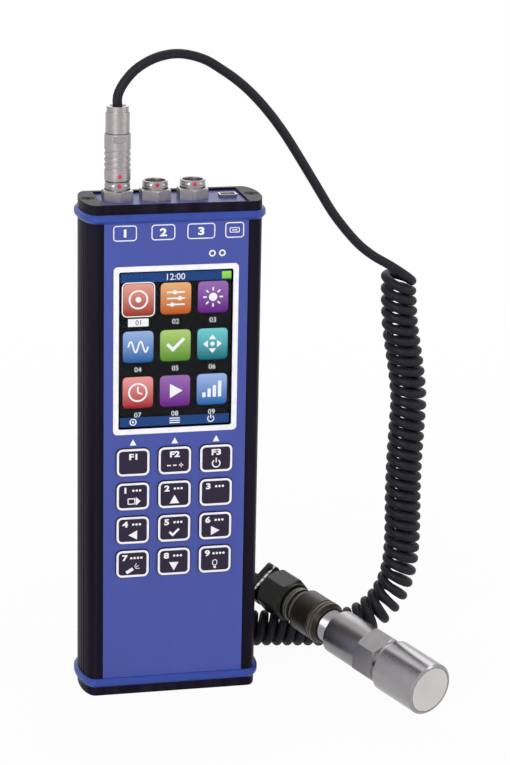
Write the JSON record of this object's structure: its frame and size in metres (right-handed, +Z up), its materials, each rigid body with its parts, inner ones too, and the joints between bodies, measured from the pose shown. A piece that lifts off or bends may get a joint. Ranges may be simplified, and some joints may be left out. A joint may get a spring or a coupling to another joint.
{
  "type": "handheld vibration meter",
  "caption": "Handheld vibration meter with screen, keypad and top sockets, and an accelerometer on a magnet at the end of a curly cord.",
  "frame": {"origin": "centre of the meter's underside, on the surface that it stands on", "axes": "+Z up along the meter, -Y towards the screen and keypad, +X to the right seen from the front"},
  "size_m": [0.1716, 0.1506, 0.2951],
  "materials": {
    "anodised_black": "black anodised, satin",
    "panel_blue": "printed satin film on aluminium",
    "plate_violet": "anodised, satin",
    "seal_blue": "satin",
    "screw_black": "black oxide",
    "frame_white": "satin",
    "lens": "polished",
    "display": "matt",
    "light_pipe": "clear, moulded",
    "key_dark": "satin",
    "silicone": "matt",
    "board_green": "solder mask",
    "cell_wrap": "shrink film",
    "tray_black": "matt",
    "nickel": "satin nickel plate",
    "insulator": "moulded",
    "usb_shell": "tin plate",
    "cord_black": "matt",
    "magnet_steel": "turned, nickel plate",
    "magnet_plate": "ground",
    "sensor_steel": "turned stainless",
    "connector_olive": "olive plating, satin",
    "connector_black": "black plating, satin",
    "clamp_screw": "zinc plate"
  },
  "bodies": {
    "meter": {"housing_tube": "anodised_black", "front_panel": "panel_blue", "top_cap": "anodised_black", "bottom_cap": "anodised_black", "top_seal": "seal_blue", "bottom_seal": "seal_blue", "connector_plate": "plate_violet", "top_cap_screws": "screw_black", "bottom_cap_screws": "screw_black", "screen_lens": "lens", "screen_frame": "frame_white", "display_module": "display", "status_lights": "light_pipe", "key_domes": "silicone", "keypad_board": "board_green", "main_board": "board_green", "battery_cells": "cell_wrap", "battery_tray": "tray_black", "socket_1": "nickel", "socket_2": "nickel", "socket_3": "nickel", "socket_nuts": "nickel", "socket_inserts": "insulator", "usb_socket": "usb_shell", "plug_body": "nickel", "plug_collet_nut": "nickel", "plug_insert": "insulator", "cord_lead": "cord_black", "cord_coil": "cord_black", "cord_tail": "cord_black", "magnet": "magnet_steel", "magnet_face": "magnet_plate", "sensor_stud": "sensor_steel", "sensor_body": "sensor_steel", "sensor_plug": "connector_black", "backshell": "connector_black", "cable_clamp": "connector_black", "clamp_screws": "clamp_screw"},
    "key_f1_cap": {"key_f1": "key_dark"},
    "key_f2_cap": {"key_f2": "key_dark"},
    "key_f3_cap": {"key_f3": "key_dark"},
    "key_1_cap": {"key_1": "key_dark"},
    "key_2_cap": {"key_2": "key_dark"},
    "key_3_cap": {"key_3": "key_dark"},
    "key_4_cap": {"key_4": "key_dark"},
    "key_5_cap": {"key_5": "key_dark"},
    "key_6_cap": {"key_6": "key_dark"},
    "key_7_cap": {"key_7": "key_dark"},
    "key_8_cap": {"key_8": "key_dark"},
    "key_9_cap": {"key_9": "key_dark"},
    "release_sleeve": {"plug_sleeve": "nickel"},
    "sensor_coupling": {"coupling_nut": "connector_olive"}
  },
  "joints": [
    {"name": "key_f1_press", "type": "slide", "parent": "meter", "child": "key_f1_cap", "axis": [0, 1, 0], "range_m": [0, 0.0005], "stiffness_N_per_m": 4000},
    {"name": "key_f2_press", "type": "slide", "parent": "meter", "child": "key_f2_cap", "axis": [0, 1, 0], "range_m": [0, 0.0005], "stiffness_N_per_m": 4000},
    {"name": "key_f3_press", "type": "slide", "parent": "meter", "child": "key_f3_cap", "axis": [0, 1, 0], "range_m": [0, 0.0005], "stiffness_N_per_m": 4000},
    {"name": "key_1_press", "type": "slide", "parent": "meter", "child": "key_1_cap", "axis": [0, 1, 0], "range_m": [0, 0.0005], "stiffness_N_per_m": 4000},
    {"name": "key_2_press", "type": "slide", "parent": "meter", "child": "key_2_cap", "axis": [0, 1, 0], "range_m": [0, 0.0005], "stiffness_N_per_m": 4000},
    {"name": "key_3_press", "type": "slide", "parent": "meter", "child": "key_3_cap", "axis": [0, 1, 0], "range_m": [0, 0.0005], "stiffness_N_per_m": 4000},
    {"name": "key_4_press", "type": "slide", "parent": "meter", "child": "key_4_cap", "axis": [0, 1, 0], "range_m": [0, 0.0005], "stiffness_N_per_m": 4000},
    {"name": "key_5_press", "type": "slide", "parent": "meter", "child": "key_5_cap", "axis": [0, 1, 0], "range_m": [0, 0.0005], "stiffness_N_per_m": 4000},
    {"name": "key_6_press", "type": "slide", "parent": "meter", "child": "key_6_cap", "axis": [0, 1, 0], "range_m": [0, 0.0005], "stiffness_N_per_m": 4000},
    {"name": "key_7_press", "type": "slide", "parent": "meter", "child": "key_7_cap", "axis": [0, 1, 0], "range_m": [0, 0.0005], "stiffness_N_per_m": 4000},
    {"name": "key_8_press", "type": "slide", "parent": "meter", "child": "key_8_cap", "axis": [0, 1, 0], "range_m": [0, 0.0005], "stiffness_N_per_m": 4000},
    {"name": "key_9_press", "type": "slide", "parent": "meter", "child": "key_9_cap", "axis": [0, 1, 0], "range_m": [0, 0.0005], "stiffness_N_per_m": 4000},
    {"name": "sleeve_pull", "type": "slide", "parent": "meter", "child": "release_sleeve", "axis": [0, 0, 1], "range_m": [0, 0.001]},
    {"name": "coupling_turn", "type": "hinge", "parent": "meter", "child": "sensor_coupling", "pos_m": [0.07351, 0.00365, 0.02366], "axis": [-0.4492, 0.8817, 0.1444], "continuous": true}
  ]
}
